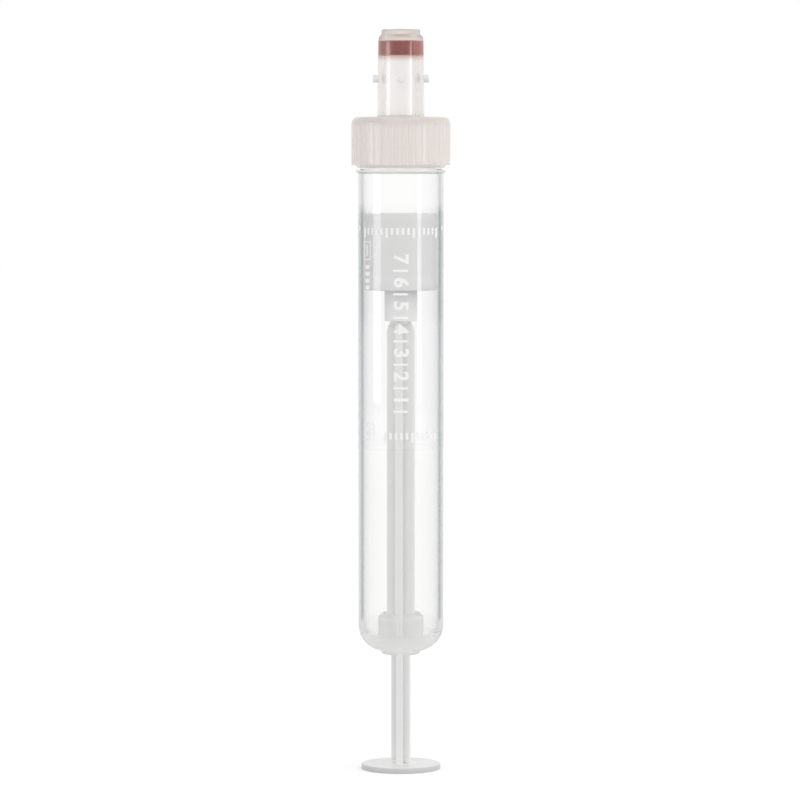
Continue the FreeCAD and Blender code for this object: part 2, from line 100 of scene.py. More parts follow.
def rounded(corners, sides=6):
    """Points of an outline from corners (radius, level), or (radius, level, size) for a round edge."""
    points = []
    for index, corner in enumerate(corners):
        spot = Vector(corner[:2])
        if len(corner) == 2:
            points.append(spot)
            continue
        back = (Vector(corners[index - 1][:2]) - spot).normalized()
        on = (Vector(corners[(index + 1) % len(corners)][:2]) - spot).normalized()
        half = back.angle(on) / 2
        centre = spot + (back + on).normalized() * (corner[2] / sin(half))
        spoke = spot + back * (corner[2] / tan(half)) - centre
        turn = (pi - 2 * half) * (1 if back.x * on.y < back.y * on.x else -1)
        points += [centre + Matrix.Rotation(turn * k / sides, 2) @ spoke for k in range(sides + 1)]
    return points


def draw(points):
    """Moves the one selected vertex to the first point and extrudes it from point to point."""
    bpy.ops.transform.translate(value=points[0])
    for here, there in zip(points, points[1:]):
        bpy.ops.mesh.extrude_region_move(TRANSFORM_OT_translate={"value": there - here})


def turned(name, corners, sides=ROUND):
    """A piece turned about the axis from an outline, which is closed unless it starts on the axis."""
    points = [Vector((spot[0], 0, spot[1])) * MM for spot in rounded(corners)]
    if points[0].x > 0:
        points.append(points[0])
    piece = start(name, bpy.ops.mesh.primitive_plane_add, size=MM)
    bpy.ops.mesh.merge(type="CENTER")
    draw(points)
    bpy.ops.mesh.select_all(action="SELECT")
    bpy.ops.mesh.remove_doubles(threshold=MERGE)
    bpy.ops.mesh.spin(steps=sides, angle=2 * pi, center=(0, 0, 0), axis=(0, 0, 1))
    return close_up(piece)


def apply_modifier(piece, kind, **settings):
    """Adds a modifier with its settings and applies it."""
    modifier = piece.modifiers.new(kind.lower(), kind)
    for name, setting in settings.items():
        setattr(modifier, name, setting)
    bpy.context.view_layer.objects.active = piece
    bpy.ops.object.modifier_apply(modifier=modifier.name)


def combine(piece, tool, operation):
    """Joins a tool to a piece or cuts it out of the piece, and takes the tool away."""
    apply_modifier(piece, "BOOLEAN", object=tool, operation=operation, solver="EXACT")
    bpy.data.objects.remove(tool)


def smooth(piece, angle=32):
    """Smooth shading that follows the large faces and keeps the sharp edges."""
    bpy.ops.object.select_all(action="DESELECT")
    piece.select_set(True)
    bpy.context.view_layer.objects.active = piece
    bpy.ops.object.shade_smooth_by_angle(angle=radians(angle))
    apply_modifier(piece, "WEIGHTED_NORMAL", keep_sharp=True)


def finish(piece, node, body, materials):
    """Gives a finished piece its materials and its place in the frame."""
    smooth(piece)
    for material in materials:
        piece.data.materials.append(material)
    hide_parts(node)
    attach(piece, body)
    return piece


def ridge(name, root, crest, level, turn):
    """A helical ridge of trapezoid section that climbs one turn from a level."""
    base, tip = THREAD_BASE / 2, THREAD_CREST / 2
    corners = [(root, -base), (crest, -tip), (crest, tip), (root, base)]
    points = [Vector((x, 0, level + z)) * MM for x, z in corners]
    piece = start(name, bpy.ops.mesh.primitive_plane_add, size=MM)
    bpy.ops.mesh.merge(type="CENTER")
    draw(points + points[:1])
    bpy.ops.mesh.select_all(action="SELECT")
    bpy.ops.mesh.remove_doubles(threshold=MERGE)
    swing(turn)
    bpy.ops.object.mode_set(mode="OBJECT")
    rise = THREAD_PITCH * MM
    apply_modifier(piece, "SCREW", angle=2 * pi, screw_offset=rise, steps=ROUND, render_steps=ROUND)
    bpy.context.view_layer.objects.active = piece
    bpy.ops.object.mode_set(mode="EDIT")
    bpy.ops.mesh.select_all(action="SELECT")
    bpy.ops.mesh.remove_doubles(threshold=MERGE)
    bpy.ops.mesh.fill_holes(sides=0)
    return close_up(piece)


# ---------------------------------------------------------------- sizes shared by the pieces

BARREL_RADIUS = 7.5
BORE_RADIUS = 6.5
NECK_RADIUS = 7.0
BOSS = foot("barrel")
RIM = top("barrel")
SEAT_GAP = 0.05
SEAT = RIM + SEAT_GAP
THREAD_PITCH, THREAD_DEPTH, THREAD_SINK = 3.0, 0.45, 0.1
THREAD_BASE, THREAD_CREST = 1.0, 0.5
THREAD_DROP, THREAD_LAG = 4.2, 1.0
CAP_TOP, NOZZLE_RADIUS = 2.65, 4.0


def make_barrel():
    """Clear barrel: wall, flange, thread, round base with its boss, and the slotted collar inside."""
    base_flat, knuckle, wall = 2.8, 4.7, 1.0
    floor, step = 1.1, 0.57
    boss_radius, rod_hole = 3.37, 2.6
    collar_bore, collar_radius, collar_height, collar_lead = 3.1, 4.0, 7.36, 0.7
    collar_spread, collar_rise = 0.6, 0.5
    flange_radius, flange_thick, flange_drop, flange_lead = 8.0, 0.55, 6.6, 0.3
    shoulder_radius, shoulder_rise = 7.18, 0.9
    slot_width, slot_depth, overrun = 0.8, 3.6, 0.4
    round_level = BOSS + step + knuckle
    flange = RIM - flange_drop
    spread = collar_radius + collar_spread - base_flat
    outer_start = degrees(asin((boss_radius - base_flat) / knuckle)) - 90
    inner_end = degrees(asin(spread / (knuckle - wall))) - 90
    collar_foot = round_level - sqrt((knuckle - wall) ** 2 - spread ** 2)
    corners = [
        (rod_hole, BOSS),
        (boss_radius, BOSS, 0.35),
        *arc(base_flat, round_level, knuckle, outer_start, 0),
        (BARREL_RADIUS, flange - flange_thick, 0.1),
        (flange_radius - flange_lead, flange - flange_thick, 0.05),
        (flange_radius, flange - flange_thick + flange_lead, 0.05),
        (flange_radius, flange, 0.08),
        (shoulder_radius, flange, 0.1),
        (shoulder_radius, flange + shoulder_rise, 0.05),
        (NECK_RADIUS, flange + shoulder_rise + shoulder_radius - NECK_RADIUS),
        (NECK_RADIUS, RIM, 0.15),
        (BORE_RADIUS, RIM, 0.15),
        *arc(base_flat, round_level, knuckle - wall, 0, inner_end),
        (collar_radius, collar_foot + collar_rise),
        (collar_radius, BOSS + collar_height - collar_lead, 0.2),
        (collar_radius - collar_lead, BOSS + collar_height, 0.1),
        (collar_bore, BOSS + collar_height, 0.05),
        (collar_bore, BOSS + step + floor),
        (rod_hole, BOSS + step + floor),
    ]
    piece = turned("barrel_shell", corners)
    for across in (0, pi / 2):
        slot = start("slot", bpy.ops.mesh.primitive_cube_add, size=MM)
        bpy.ops.transform.resize(value=(2 * (collar_radius + overrun), slot_width, slot_depth))
        bpy.ops.transform.translate(value=(0, 0, (BOSS + collar_height - slot_depth / 2) * MM + TOUCH))
        swing(across)
        bpy.ops.object.mode_set(mode="OBJECT")
        combine(piece, slot, "DIFFERENCE")
    root, crest = NECK_RADIUS - THREAD_SINK, NECK_RADIUS + THREAD_DEPTH
    thread = ridge("thread", root, crest, RIM - THREAD_DROP, 0)
    combine(piece, thread, "UNION")
    return piece


def make_cap():
    """Screw cap: fluted skirt with its lip and thread, seal ring, and the nozzle with four studs."""
    bore, radius, sides = 7.6, 8.7, 176
    lip_bore, lip_outer, lip_wall, lip_slope = 7.5, 8.05, 0.12, 0.4
    roof_top, roof_under, skirt, lip = SEAT + CAP_TOP, SEAT + 1.25, SEAT - 5.75, SEAT - 6.25
    seal_radius, seal_wall, seal_drop = 6.44, 0.85, 2.2
    tip, pocket_top, ledge = SEAT + 17.95, SEAT + 15.95, SEAT + 13.4
    full, shoulder, ring = tip - 2.2, tip - 1.3, tip - 0.85
    nozzle_foot, nozzle_shoulder, tip_radius = 4.12, 3.8, 3.4
    pocket_radius, channel_radius, mouth_radius = 3.05, 2.7, 1.6
    corners = [
        (bore, SEAT),
        (bore, skirt + lip_slope),
        (lip_bore, skirt),
        (lip_bore, lip),
        (lip_bore + lip_wall, lip),
        (lip_outer, skirt, 0.05),
        (radius, skirt, 0.12),
        (radius, roof_top, 1.2),
        (nozzle_foot, roof_top, 0.25),
        (NOZZLE_RADIUS, full, 0.3),
        (nozzle_shoulder, shoulder, 0.3),
        (tip_radius, ring, 0.15),
        (tip_radius, tip, 0.3),
        (mouth_radius, tip, 0.3),
        (mouth_radius, pocket_top, 0.1),
        (pocket_radius, pocket_top),
        (pocket_radius, ledge),
        (channel_radius, ledge, 0.1),
        (channel_radius, roof_under, 0.2),
        (seal_radius - seal_wall, roof_under, 0.2),
        (seal_radius - seal_wall, SEAT - seal_drop, 0.15),
        (seal_radius, SEAT - seal_drop, 0.3),
        (seal_radius, SEAT),
    ]
    piece = turned("cap_shell", corners, sides)
    combine(piece, make_flutes(radius, skirt, roof_top), "DIFFERENCE")
    combine(piece, make_studs((NOZZLE_RADIUS + pocket_radius) / 2), "UNION")
    level = RIM - THREAD_DROP - THREAD_LAG + THREAD_PITCH / 4
    thread = ridge("thread", bore + THREAD_SINK, bore - THREAD_DEPTH, level, pi / 2)
    combine(piece, thread, "UNION")
    return piece


def make_flutes(radius, low, high):
    """Round cutters for the flutes of the skirt."""
    count, size, depth, margin, overrun = 44, 0.4, 0.14, 1.3, 1.0
    length = high - margin - low + overrun
    rod = {"vertices": 24, "radius": size * MM, "depth": length * MM}
    piece = start("flutes", bpy.ops.mesh.primitive_cylinder_add, **rod)
    spot = Vector((radius + size - depth, 0, low - overrun + length / 2)) * MM
    bpy.ops.transform.translate(value=spot)
    bpy.ops.mesh.spin(steps=count, angle=2 * pi, dupli=True, center=(0, 0, 0), axis=(0, 0, 1))
    return close_up(piece)


def make_studs(root):
    """The four side studs of the nozzle, each with a rounded end."""
    count, size, end, level, edge = 4, 0.68, 4.93, SEAT + 9.35, 0.15
    length = end - root
    rod = {"vertices": 40, "radius": size * MM, "depth": length * MM}
    piece = start("studs", bpy.ops.mesh.primitive_cylinder_add, **rod)
    select_faces(lambda face: face.normal.z > 0.9)
    bpy.ops.mesh.bevel(offset=edge * MM, segments=3, affect="EDGES")
    bpy.ops.mesh.select_all(action="SELECT")
    swing(pi / 2, "Y")
    bpy.ops.transform.translate(value=Vector((root + length / 2, 0, level)) * MM)
    bpy.ops.mesh.spin(steps=count, angle=2 * pi, dupli=True, center=(0, 0, 0), axis=(0, 0, 1))
    return close_up(piece)


def select_faces(wanted):
    """Selects the faces of the piece in edit mode that a test picks."""
    bpy.ops.mesh.select_mode(type="FACE")
    bpy.ops.mesh.select_all(action="DESELECT")
    mesh = bpy.context.object.data
    cage = bmesh.from_edit_mesh(mesh)
    for face in cage.faces:
        face.select_set(wanted(face))
    bmesh.update_edit_mesh(mesh)


def make_membrane():
    """Rubber disc, pressed against the wall of its pocket in the nozzle."""
    radius, edge = 3.06, 0.15
    low, high = foot("membrane"), top("membrane")
    return turned("membrane_disc", [(0, low), (radius, low, edge), (radius, high, edge), (0, high)])


def make_piston():
    """Piston: crown, skirt with two sealing lands, and the neck that takes the rod."""
    radius, wall, waist, slope, land = 6.45, 0.95, 0.1, 1.6, 0.9
    neck, socket = 2.9, 1.69
    shoulder, crown = foot("piston"), top("piston")
    skirt, roof, socket_end = crown - 13.4, crown - 1.6, shoulder + 8
    corners = [
        (0, socket_end),
        (socket, socket_end),
        (socket, shoulder, 0.1),
        (neck, shoulder, 0.12),
        (neck, roof, 0.4),
        (radius - wall, roof, 0.4),
        (radius - wall, skirt, 0.15),
        (radius, skirt, 0.2),
        (radius, skirt + land, 0.1),
        (radius - waist, skirt + land + slope, 0.1),
        (radius - waist, crown - land - slope, 0.1),
        (radius, crown - land, 0.1),
        (radius, crown, 0.2),
        (0, crown),
    ]
    return turned("piston_shell", corners)


def make_rod():
    """Plunger rod: pull disc, crossed ribs that are slim at the foot, and the stem in the piston."""
    disc, thick, foot_gap = 7.0, 1.0, 0.42
    stem, root, sides = 1.65, 1.5, 48
    turn = radians(-12)
    shoulder = foot("piston")
    stem_root, stem_foot, stem_end = shoulder - root, shoulder - 0.46, top("plunger_rod")
    piece = turned("rod_and_disc", [(0, 0), (disc, 0, 0.1), (disc, thick, 0.35), (0, thick)])
    combine(piece, make_rib("ribs", thick / 2, shoulder, pi / 2 + turn), "UNION")
    combine(piece, make_rib("ribs", thick + foot_gap, shoulder, turn), "UNION")
    outline = [(0, stem_root), (stem, stem_foot), (stem, stem_end, 0.2), (0, stem_end)]
    combine(piece, turned("stem", outline, sides), "UNION")
    return piece


def make_rib(name, low, shoulder, turn):
    """A pair of ribs across the rod: slim from the foot, then full, then sloped in to the head."""
    slim, full, thick, edge = 1.65, 2.44, 1.2, 0.12
    slim_end, full_start = 22.6, 24.0
    drop, slope, draw_in = 1.85, 1.02, 0.2
    half = [(slim, low), (slim, slim_end), (full, full_start), (full, shoulder - drop),
            (full - draw_in, shoulder - slope), (slim, shoulder)]
    outline = half + [(-x, z) for x, z in reversed(half)]
    points = [Vector((x, -thick / 2, z)) * MM for x, z in outline]
    piece = start(name, bpy.ops.mesh.primitive_plane_add, size=MM)
    bpy.ops.mesh.merge(type="CENTER")
    draw(points + points[:1])
    bpy.ops.mesh.select_all(action="SELECT")
    bpy.ops.mesh.remove_doubles(threshold=MERGE)
    bpy.ops.mesh.edge_face_add()
    bpy.ops.mesh.extrude_region_move(TRANSFORM_OT_translate={"value": (0, thick * MM, 0)})
    bpy.ops.mesh.select_all(action="SELECT")
    bpy.ops.mesh.normals_make_consistent(inside=False)
    swing(turn)
    close_up(piece)
    sharp = radians(50)
    apply_modifier(piece, "BEVEL", width=edge * MM, segments=3, limit_method="ANGLE", angle_limit=sharp)
    return piece


def make_label():
    """Clear film round the barrel, open at the back."""
    inner, outer, wrap = BARREL_RADIUS + 0.03, BARREL_RADIUS + 0.11, radians(344)
    low, high = foot("label"), top("label")
    corners = (inner, low), (outer, low), (outer, high), (inner, high)
    points = [Vector((x, 0, z)) * MM for x, z in corners]
    piece = start("label_sleeve", bpy.ops.mesh.primitive_plane_add, size=MM)
    bpy.ops.mesh.merge(type="CENTER")
    draw(points + points[:1])
    bpy.ops.mesh.select_all(action="SELECT")
    bpy.ops.mesh.remove_doubles(threshold=MERGE)
    bpy.ops.mesh.edge_face_add()
    swing(pi / 2 + (2 * pi - wrap) / 2)
    bpy.ops.mesh.spin(steps=ROUND, angle=wrap, center=(0, 0, 0), axis=(0, 0, 1))
    return close_up(piece)


# ---------------------------------------------------------------- print on the film

PRINT_RADIUS = BARREL_RADIUS + 0.115
PRINT_THICK = 0.02
FILM_FOOT, FILM_TOP = foot("label"), top("label")
UPPER_ROW = (-7.35, 16, FILM_TOP - 4.25, FILM_TOP - 2.5)    # first block's middle, how many, low, high
LOWER_ROW = (-2.8, 11, FILM_FOOT + 1.4, FILM_FOOT + 3.15)
UPPER_BOX = (-7.5, -5.85, FILM_TOP - 8.1, FILM_TOP - 4.9)   # left, right, low, high
UPPER_BAR = (-6.95, -6.65, FILM_TOP - 7.5, FILM_TOP - 5.5)
LOWER_BOX = (-7.5, -5.0, FILM_FOOT + 1.7, FILM_FOOT + 4.7)
LOWER_BAR = (-6.6, -5.9, FILM_FOOT + 2.4, FILM_FOOT + 4.0)


def block(left, right, low, high, line=0.0):
    """A printed block with rounded corners on the flat film, or its outline, given a line width."""
    corner = 0.12
    piece = start("mark", bpy.ops.mesh.primitive_plane_add, size=MM)
    bpy.ops.transform.resize(value=(right - left, high - low, 1))
    bpy.ops.transform.translate(value=Vector(((left + right) / 2, (low + high) / 2, 0)) * MM)
    if line:
        bpy.ops.mesh.select_mode(type="FACE")
        bpy.ops.mesh.inset(thickness=line * MM, depth=0)
        bpy.ops.mesh.delete(type="FACE")
    else:
        bpy.ops.mesh.bevel(offset=corner * MM, segments=3, affect="VERTICES")
    bpy.ops.object.mode_set(mode="OBJECT")
    return piece


def number(text, middle, level, height):
    """A plain bold number lying on its side, centred on the flat film."""
    figure_share, boldness = 0.72, 0.11
    bpy.ops.object.select_all(action="DESELECT")
    bpy.ops.object.text_add()
    piece = bpy.context.object
    piece.data.body = text
    piece.data.align_x = "CENTER"
    piece.data.align_y = "CENTER"
    piece.data.size = height / figure_share * MM
    piece.data.offset = boldness * MM
    bpy.ops.object.convert(target="MESH")
    piece = bpy.context.object
    bpy.ops.object.mode_set(mode="EDIT")
    bpy.ops.mesh.select_all(action="SELECT")
    swing(-pi / 2)
    bpy.ops.transform.translate(value=Vector((middle, level, 0)) * MM)
    bpy.ops.mesh.normals_make_consistent(inside=False)
    bpy.ops.object.mode_set(mode="OBJECT")
    return piece


def print_row(first, count, low, high):
    """A row of blocks like a ruler's, every fifth one longer."""
    pitch, half, short = 0.965, 0.22, 0.55
    row = []
    for index in range(count):
        foot_level = low if index % 5 == 0 else low + short
        middle = first + index * pitch
        row.append(block(middle - half, middle + half, foot_level, high))
    return row


def print_scale():
    """Plain numbers from 7 down to 1, with a line below each."""
    numbers, first, step, height, middle = 7, FILM_TOP - 7.9, 4.1, 2.5, -0.08
    left, right, half = -1.38, 1.24, 0.2
    scale = []
    for index in range(numbers):
        level = first - index * step
        below = level - step / 2
        scale.append(number(str(numbers - index), middle, level, height))
        scale.append(block(left, right, below - half, below + half))
    return scale


def print_marks():
    """All the marks: two rows of blocks, the scale, two write-in boxes, a column of dots, side dots."""
    upper_line, lower_line = 0.14, 0.16
    dot_left, dot_right, dot_height, dots = -7.2, -6.1, 0.7, (-9.7, -10.9, -12.1, -13.3)
    side_low, side_high, side_width, sides = FILM_TOP - 3.0, FILM_TOP - 2.2, 0.5, (-9.6, 9.1)
    marks = print_row(*UPPER_ROW) + print_row(*LOWER_ROW) + print_scale()
    marks += [block(*UPPER_BOX, line=upper_line), block(*UPPER_BAR)]
    for dot in dots:
        marks.append(block(dot_left, dot_right, FILM_TOP + dot, FILM_TOP + dot + dot_height))
    marks += [block(*LOWER_BOX, line=lower_line), block(*LOWER_BAR)]
    marks += [block(side, side + side_width, side_low, side_high) for side in sides]
    return marks


def make_print():
    """Thin white print, cut into narrow strips so that it bends evenly round the film."""
    strips, strip = 24, 0.4
    marks = print_marks()
    bpy.ops.object.select_all(action="DESELECT")
    for mark in marks:
        mark.select_set(True)
    piece = marks[0]
    bpy.context.view_layer.objects.active = piece
    bpy.ops.object.join()
    piece.name = piece.data.name = "print"
    bpy.ops.object.mode_set(mode="EDIT")
    bpy.ops.mesh.select_mode(type="VERT")
    for cut in range(-strips, strips + 1):
        bpy.ops.mesh.select_all(action="SELECT")
        bpy.ops.mesh.bisect(plane_co=(cut * strip * MM, 0, 0), plane_no=(1, 0, 0))
    bpy.ops.mesh.select_all(action="SELECT")
    bpy.ops.mesh.extrude_region_move(TRANSFORM_OT_translate={"value": (0, 0, PRINT_THICK * MM)})
    bpy.ops.mesh.select_all(action="SELECT")
    swing(pi / 2, "X")
    close_up(piece)
    reach = [vertex.co.x for vertex in piece.data.vertices]
    angle = (max(reach) - min(reach)) / (PRINT_RADIUS * MM)
    apply_modifier(piece, "SIMPLE_DEFORM", deform_method="BEND", deform_axis="Z", angle=angle)
    bpy.ops.object.mode_set(mode="EDIT")
    bpy.ops.mesh.select_all(action="SELECT")
    bpy.ops.transform.translate(value=(0, -PRINT_RADIUS * MM, 0))
    return close_up(piece)


# ---------------------------------------------------------------- nodes

def place(tree, kind, sockets=None, **settings):
    """Adds a node. A socket is given a value, or a link where the value is another node's socket."""
    made = tree.nodes.new("ShaderNode" + kind)
    for name, setting in settings.items():
        setattr(made, name, setting)
    fill(tree, made, sockets or {})
    return made


def fill(tree, node, sockets):
    """Gives a node's sockets their values and links."""
    for socket, given in sockets.items():
        if isinstance(given, bpy.types.NodeSocket):
            tree.links.new(given, node.inputs[socket])
        else:
            node.inputs[socket].default_value = given


def sum_up(tree, operation, *values, clamp=False):
    """A Math node's value."""
    return place(tree, "Math", dict(enumerate(values)), operation=operation, use_clamp=clamp).outputs[0]


def mix_colors(tree, factor, first, second, kind="MIX"):
    """A blend of two colours."""
    sockets = {0: factor, 6: first, 7: second}
    return place(tree, "Mix", sockets, data_type="RGBA", blend_type=kind).outputs[2]


def mix_values(tree, factor, first, second):
    """A blend of two values."""
    return place(tree, "Mix", {0: factor, 2: first, 3: second}, data_type="FLOAT").outputs[0]


def fade(tree, value, begin, end, low=0.0, high=1.0):
    """Goes from low to high as a value goes from begin to end, and stays there beyond."""
    sockets = {"Value": value, "From Min": begin, "From Max": end, "To Min": low, "To Max": high}
    return place(tree, "MapRange", sockets).outputs["Result"]


def noise(tree, spot, scale, **options):
    """A noise texture's value."""
    sockets = {"Vector": spot, "Scale": scale, "Detail": 2, **options}
    return place(tree, "TexNoise", sockets).outputs[0]


def ramp(tree, factor, stops):
    """A color ramp from (position, color) pairs."""
    made = place(tree, "ValToRGB", {0: factor})
    points = made.color_ramp.elements
    while len(points) < len(stops):
        points.new(0.5)
    for point, (position, color) in zip(points, stops):
        point.position, point.color = position, (*color, 1)
    return made.outputs[0]


def bump(tree, height, depth):
    """A bump whose height of one stands for a depth in millimetres."""
    return place(tree, "Bump", {"Height": height, "Distance": depth * MM, "Strength": 1.0}).outputs[0]


def turned_away(tree):
    """Nought where the surface faces the eye, one at its edge."""
    return place(tree, "LayerWeight", {"Blend": 0.5}).outputs["Facing"]


def new_material(name):
    """A material with its shader, the shader's node tree and its object coordinates."""
    material = bpy.data.materials.new(name)
    material.use_nodes = True
    tree = material.node_tree
    return material, tree, tree.nodes["Principled BSDF"], place(tree, "TexCoord").outputs["Object"]


def new_group(name, inputs, outputs):
    """A node group with its input sockets and output sockets, from the names and kinds of both."""
    group = bpy.data.node_groups.new(name, "ShaderNodeTree")
    for direction, sockets in (("INPUT", inputs), ("OUTPUT", outputs)):
        for socket, kind in sockets:
            group.interface.new_socket(socket, in_out=direction, socket_type="NodeSocket" + kind)
    return group, group.nodes.new("NodeGroupInput").outputs, group.nodes.new("NodeGroupOutput").inputs


def make_moulded_finish():
    """Shared look of moulded plastic: soft flow marks along the part, fine grain and a slight haze."""
    inputs = (("Tone", "Color"), ("Mottle", "Float"), ("Roughness", "Float"), ("Haze", "Float"),
              ("Grain Scale", "Float"))
    outputs = (("Color", "Color"), ("Roughness", "Float"), ("Height", "Float"))
    group, given, result = new_group("moulded_finish", inputs, outputs)
    shadow, flow_height, flow_scale, stretch = (0.55, 0.55, 0.57, 1), 2.0, 420, (1, 1, 0.15)
    spot = place(group, "TexCoord").outputs["Object"]
    along = place(group, "Mapping", {"Vector": spot, "Scale": stretch}).outputs[0]
    flow = noise(group, along, flow_scale, Detail=3, Roughness=0.55)
    grain = noise(group, spot, given["Grain Scale"])
    shade = sum_up(group, "MULTIPLY", flow, given["Mottle"])
    dark = mix_colors(group, 1.0, given["Tone"], shadow, "MULTIPLY")
    haze = sum_up(group, "MULTIPLY", sum_up(group, "SUBTRACT", grain, 0.5), given["Haze"])
    rough = sum_up(group, "ADD", given["Roughness"], haze, clamp=True)
    group.links.new(mix_colors(group, shade, given["Tone"], dark), result["Color"])
    group.links.new(rough, result["Roughness"])
    group.links.new(sum_up(group, "MULTIPLY_ADD", flow, flow_height, grain), result["Height"])
    return group


def make_tube_measures():
    """Shared measures of a point in millimetres: its distance from the tube's axis and its level."""
    inputs, outputs = (("Point", "Vector"),), (("Radius", "Float"), ("Level", "Float"))
    group, given, result = new_group("tube_measures", inputs, outputs)
    metres, per_metre = given["Point"], (1 / MM,) * 3
    sized = place(group, "VectorMath", {0: metres, 1: per_metre}, operation="MULTIPLY").outputs[0]
    flat = place(group, "VectorMath", {0: sized, 1: (1, 1, 0)}, operation="MULTIPLY").outputs[0]
    radius = place(group, "VectorMath", {0: flat}, operation="LENGTH").outputs["Value"]
    group.links.new(radius, result["Radius"])
    group.links.new(place(group, "SeparateXYZ", {0: sized}).outputs["Z"], result["Level"])
    return group


def moulded(tree, tone, mottle, roughness, haze, grain):
    """Places the shared finish in a material. The tone is a colour or a node's output."""
    tone = tone if isinstance(tone, bpy.types.NodeSocket) else (*tone, 1)
    given = {"Tone": tone, "Mottle": mottle, "Roughness": roughness, "Haze": haze, "Grain Scale": grain}
    return place(tree, "Group", given, node_tree=MOULDED_FINISH).outputs


def measured(tree, spot):
    """Places the shared measures in a material."""
    return place(tree, "Group", {"Point": spot}, node_tree=TUBE_MEASURES).outputs


def let_light_in(tree, shader, tint):
    """Lets lamplight and soft light pass straight through a clear wall to what it holds."""
    path = place(tree, "LightPath")
    soft = sum_up(tree, "MAXIMUM", path.outputs["Is Shadow Ray"], path.outputs["Is Diffuse Ray"])
    through = place(tree, "BsdfTransparent", {0: (*tint, 1)})
    mixed = place(tree, "MixShader", {0: soft, 1: shader.outputs[0], 2: through.outputs[0]})
    tree.links.new(mixed.outputs[0], tree.nodes["Material Output"].inputs[0])


# ---------------------------------------------------------------- materials

PLASTIC_IOR = 1.49

# Painted shade of the clear wall: darker as the wall turns away, in place of the dark surroundings that
# clear edges refract.
EDGE_PAINTED_SHADE = (
    (0.0, (0.98, 0.98, 0.975)),
    (0.129, (0.95, 0.95, 0.95)),
    (0.206, (0.92, 0.92, 0.92)),
    (0.312, (0.86, 0.86, 0.865)),
    (0.364, (0.785, 0.785, 0.79)),
    (0.426, (0.705, 0.71, 0.715)),
    (0.462, (0.63, 0.635, 0.64)),
    (0.50, (0.49, 0.50, 0.505)),
    (0.543, (0.25, 0.265, 0.27)),
    (0.592, (0.155, 0.17, 0.175)),
    (0.648, (0.265, 0.285, 0.295)),
    (0.72, (0.45, 0.465, 0.48)),
    (0.822, (0.49, 0.505, 0.52)),
    (1.0, (0.48, 0.49, 0.50)),
)
# Painted shade of the frosted wall, darker as it turns away.
WINDOW_PAINTED_SHADE = (
    (0.0, (0.93, 0.93, 0.925)),
    (0.3, (0.91, 0.91, 0.905)),
    (0.4, (0.72, 0.72, 0.72)),
    (0.5, (0.5, 0.5, 0.5)),
    (1.0, (0.4, 0.4, 0.4)),
)


def painted_wall_shade(tree, away, level):
    """Painted shade of the clear wall, darker at its edges: deeper behind the upper film, paler above
    it.
    """
    film = top("label")
    deep_start, deep_end, deep_change = film - 20.3, film - 17.3, 0.3
    pale_start, pale_end, pale_change = film - 0.3, film + 1.7, -0.72
    behind = fade(tree, level, deep_start, deep_end)
    above = fade(tree, level, pale_start, pale_end)
    deeper = sum_up(tree, "MULTIPLY_ADD", behind, deep_change, 1.0)
    depth = sum_up(tree, "MULTIPLY_ADD", above, pale_change, deeper)
    return place(tree, "Gamma", {"Color": ramp(tree, away, EDGE_PAINTED_SHADE), "Gamma": depth}).outputs[0]


def frost_edge(tree, spot, collar):
    """Ragged level up to which the base is frosted, a little higher on the collar."""
    wall_top, collar_top, ragged, scale, stretch = BOSS + 6.56, BOSS + 7.56, 2.2, 1300, (1, 1, 0.2)
    stretched = place(tree, "Mapping", {"Vector": spot, "Scale": stretch}).outputs[0]
    lowest = mix_values(tree, collar, wall_top - ragged / 2, collar_top - ragged / 2)
    return sum_up(tree, "MULTIPLY_ADD", noise(tree, stretched, scale), ragged, lowest)


def clear_plastic():
    """Clear wall whose dark edges are painted shade in place of refraction, a frosted base and collar,
    and a clear window between.
    """
    outer_radius, outer_reach, collar_radius = BARREL_RADIUS - 0.05, 0.12, 4.2
    window, soft, matt_roughness, sand_scale, sand_depth = BOSS + 4.06, 0.3, 0.5, 5200, 0.02
    low_start, low_end = BOSS + 4.16, BOSS + 3.16
    low_tone, collar_tone = (0.98, 0.98, 0.965, 1), (0.955, 0.95, 0.945, 1)
    material, tree, shader, spot = new_material("clear_plastic")
    look = moulded(tree, (1, 1, 1), mottle=0.02, roughness=0.02, haze=0.02, grain=900)
    measures = measured(tree, spot)
    radius, level = measures["Radius"], measures["Level"]
    collar = sum_up(tree, "LESS_THAN", radius, collar_radius)
    below = sum_up(tree, "SUBTRACT", frost_edge(tree, spot, collar), level)
    pale = fade(tree, below, 0, soft)
    matt = sum_up(tree, "MAXIMUM", collar, fade(tree, level, window, window - soft))
    frost = sum_up(tree, "MULTIPLY", pale, matt)
    outside = sum_up(tree, "COMPARE", radius, outer_radius, outer_reach)
    # Painted shade: how far an outer face turns away sets how dark the wall is painted.
    away = sum_up(tree, "MULTIPLY", turned_away(tree), outside)
    low = fade(tree, level, low_start, low_end)
    # Painted shade on the frosted wall at its edges; its lowest part keeps a plain frost tone.
    wall = mix_colors(tree, low, ramp(tree, away, WINDOW_PAINTED_SHADE), low_tone)
    frosted = mix_colors(tree, collar, wall, collar_tone)
    color = mix_colors(tree, pale, painted_wall_shade(tree, away, level), frosted)
    rough = mix_values(tree, frost, look["Roughness"], matt_roughness)
    sand = sum_up(tree, "MULTIPLY", noise(tree, spot, sand_scale), frost)
    fill(tree, shader, {"Base Color": color, "Roughness": rough, "Transmission Weight": 1.0,
                        "IOR": PLASTIC_IOR, "Normal": bump(tree, sand, sand_depth)})
    return material


def flange_plastic():
    """Clear plastic of the flange, thread and studs, which gather light and look paler than walls."""
    material, tree, shader, _ = new_material("flange_plastic")
    look = moulded(tree, (0.96, 0.96, 0.97), mottle=0.06, roughness=0.2, haze=0.06, grain=1800)
    fill(tree, shader, {"Base Color": look["Color"], "Roughness": look["Roughness"],
                        "Transmission Weight": 0.4, "IOR": PLASTIC_IOR,
                        "Normal": bump(tree, look["Height"], 0.003)})
    return material


